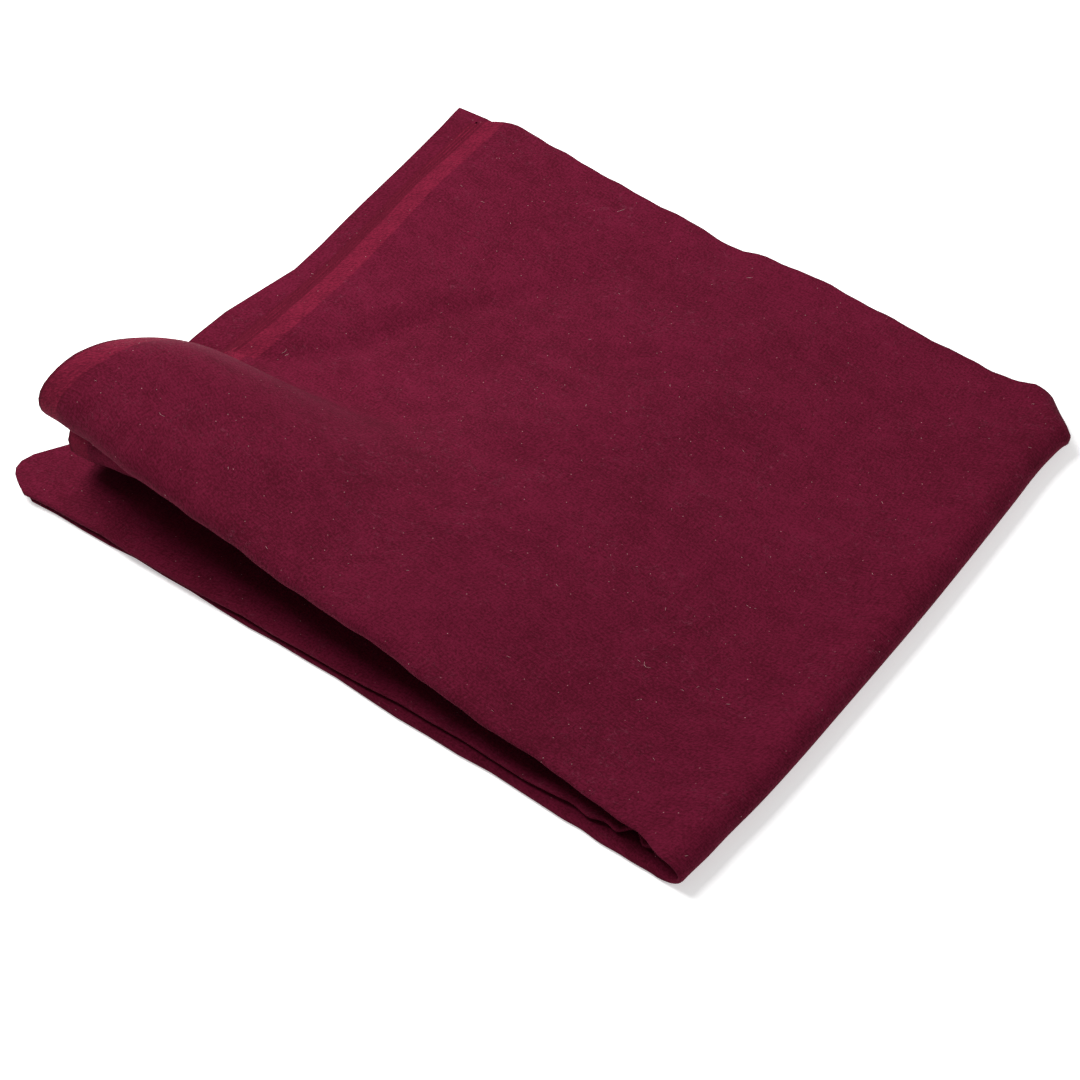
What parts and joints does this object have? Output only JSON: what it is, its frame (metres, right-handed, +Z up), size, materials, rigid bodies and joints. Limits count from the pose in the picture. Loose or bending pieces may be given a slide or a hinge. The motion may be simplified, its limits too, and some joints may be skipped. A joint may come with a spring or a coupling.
{
  "type": "folded turban cloth",
  "caption": "Long plain cotton turban cloth, folded into a flat packet, with one large loose fold standing up along its front.",
  "frame": {"origin": "under the middle of the packet, on the surface it rests on", "axes": "+X towards the spine, where the stack is folded in half; -Y towards the raised front fold; +Z up"},
  "size_m": [0.5212, 0.4512, 0.094],
  "materials": {
    "maroon_cotton": "matt plain weave"
  },
  "bodies": {
    "root": {"turban_cloth": "maroon_cotton"}
  },
  "joints": []
}
